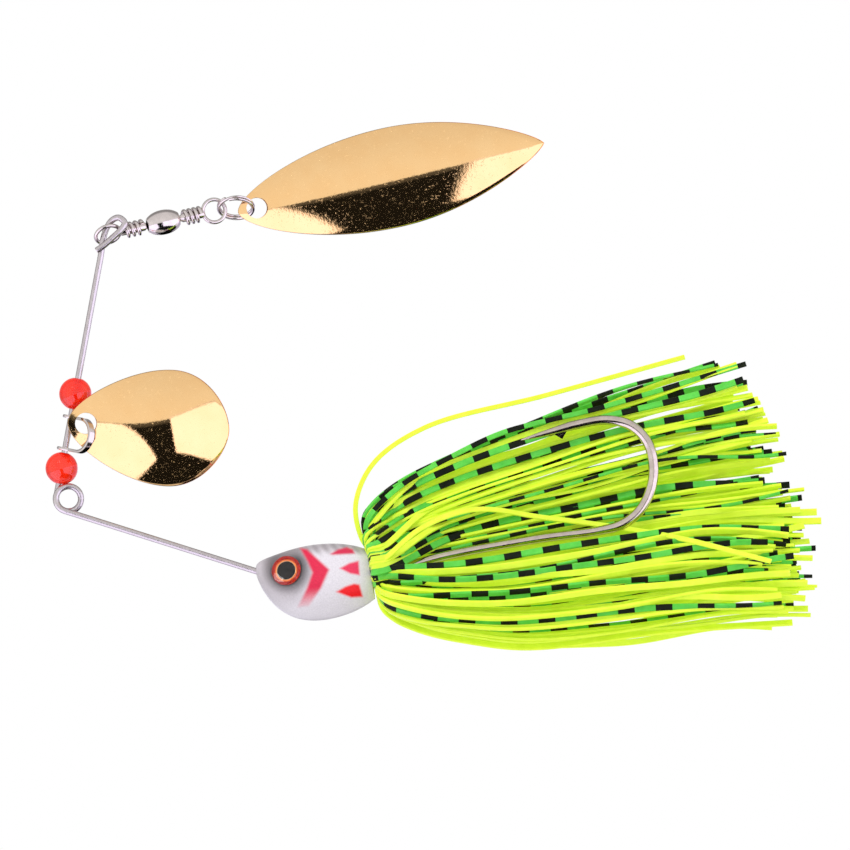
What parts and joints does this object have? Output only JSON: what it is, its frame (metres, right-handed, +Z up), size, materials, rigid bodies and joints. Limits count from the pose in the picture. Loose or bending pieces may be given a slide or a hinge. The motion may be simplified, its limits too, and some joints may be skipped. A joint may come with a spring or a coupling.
{
  "type": "spinnerbait",
  "caption": "Fishing lure on a bent wire arm: weighted head, hook and strand skirt below, a willow blade on a swivel and a Colorado blade on a clevis above.",
  "frame": {"origin": "centre of the line-tie coil in the wire arm, where the fishing line holds the lure", "axes": "+X toward the tail of the lure, +Z up in the running posture, +Y to the lure's left; the wire arm, hook and blades lie close to the XZ plane"},
  "size_m": [0.1232, 0.0187, 0.084],
  "materials": {
    "spring_wire": "drawn stainless spring wire",
    "head_paint": "pearl white paint with airbrushed grey and red marks under clear coat",
    "hook_nickel": "bright nickel plate",
    "link_nickel": "bright nickel plate, slightly warm",
    "blade_gold": "polished gold plate",
    "bead_red": "translucent red acrylic",
    "eye_print": "printed ringed eye",
    "eye_lens": "clear domed resin",
    "band_rubber": "matt",
    "strand_chartreuse": "soft silicone, slightly translucent",
    "strand_green": "soft silicone with black bars"
  },
  "bodies": {
    "frame": {"wire_frame": "spring_wire", "head": "head_paint", "hook": "hook_nickel", "skirt_band": "band_rubber", "eye_disc_left": "eye_print", "eye_disc_right": "eye_print", "eye_lens_left": "eye_lens", "eye_lens_right": "eye_lens", "skirt_tuft_01": "strand_chartreuse", "skirt_tuft_02": "strand_green", "skirt_tuft_03": "strand_chartreuse", "skirt_tuft_04": "strand_green", "skirt_tuft_05": "strand_chartreuse", "skirt_tuft_06": "strand_green", "skirt_tuft_07": "strand_chartreuse", "skirt_tuft_08": "strand_green", "skirt_tuft_09": "strand_chartreuse", "skirt_tuft_10": "strand_green", "skirt_tuft_11": "strand_chartreuse", "skirt_tuft_12": "strand_green", "skirt_tuft_13": "strand_green", "skirt_tuft_14": "strand_chartreuse", "skirt_tuft_15": "strand_green", "skirt_tuft_16": "strand_chartreuse"},
    "upper_bead": {"upper_bead": "bead_red"},
    "lower_bead": {"lower_bead": "bead_red"},
    "clevis": {"clevis": "link_nickel"},
    "colorado_blade": {"colorado_blade": "blade_gold"},
    "swivel_inner": {"swivel_eye_inner": "link_nickel"},
    "swivel_barrel": {"swivel_barrel": "link_nickel"},
    "swivel_outer": {"swivel_eye_outer": "link_nickel"},
    "split_ring": {"split_ring": "link_nickel"},
    "willow_blade": {"willow_blade": "blade_gold"}
  },
  "joints": [
    {"name": "stack_slide", "type": "slide", "parent": "frame", "child": "upper_bead", "axis": [0.1812, 0, 0.9834], "range_m": [0, 0.019]},
    {"name": "lower_bead_slide", "type": "slide", "parent": "frame", "child": "lower_bead", "axis": [0.1812, 0, 0.9834], "range_m": [0, 0.019]},
    {"name": "clevis_spin", "type": "hinge", "parent": "upper_bead", "child": "clevis", "pos_m": [-0.0001, 0.00143, 0.01051], "axis": [0.1812, 0, 0.9834], "continuous": true},
    {"name": "colorado_swing", "type": "hinge", "parent": "clevis", "child": "colorado_blade", "pos_m": [0.00202, -0.00102, 0.01012], "axis": [-0.7377, -0.6613, 0.1359], "range_deg": [-30, 5]},
    {"name": "swivel_swing", "type": "hinge", "parent": "frame", "child": "swivel_inner", "pos_m": [0.0058, 0.0014, 0.0436], "axis": [0, -0.9397, -0.342], "range_deg": [-60, 4]},
    {"name": "barrel_spin", "type": "hinge", "parent": "swivel_inner", "child": "swivel_barrel", "pos_m": [0.00625, 0.00165, 0.0423], "axis": [0.9546, 0.2029, 0.2181], "continuous": true},
    {"name": "outer_eye_spin", "type": "hinge", "parent": "swivel_barrel", "child": "swivel_outer", "pos_m": [0.00625, 0.00165, 0.0423], "axis": [0.9546, 0.2029, 0.2181], "continuous": true},
    {"name": "split_ring_swing", "type": "hinge", "parent": "swivel_outer", "child": "split_ring", "pos_m": [0.02315, 0.00524, 0.04616], "axis": [0.2079, -0.9781, 0], "range_deg": [-45, 45]},
    {"name": "willow_swing", "type": "hinge", "parent": "split_ring", "child": "willow_blade", "pos_m": [0.02665, 0.00525, 0.0467], "axis": [0, -0.5446, -0.8387], "range_deg": [-50, 50]}
  ],
  "couplings": [
    {"joint": "lower_bead_slide", "follows": "stack_slide", "ratio": 1}
  ]
}
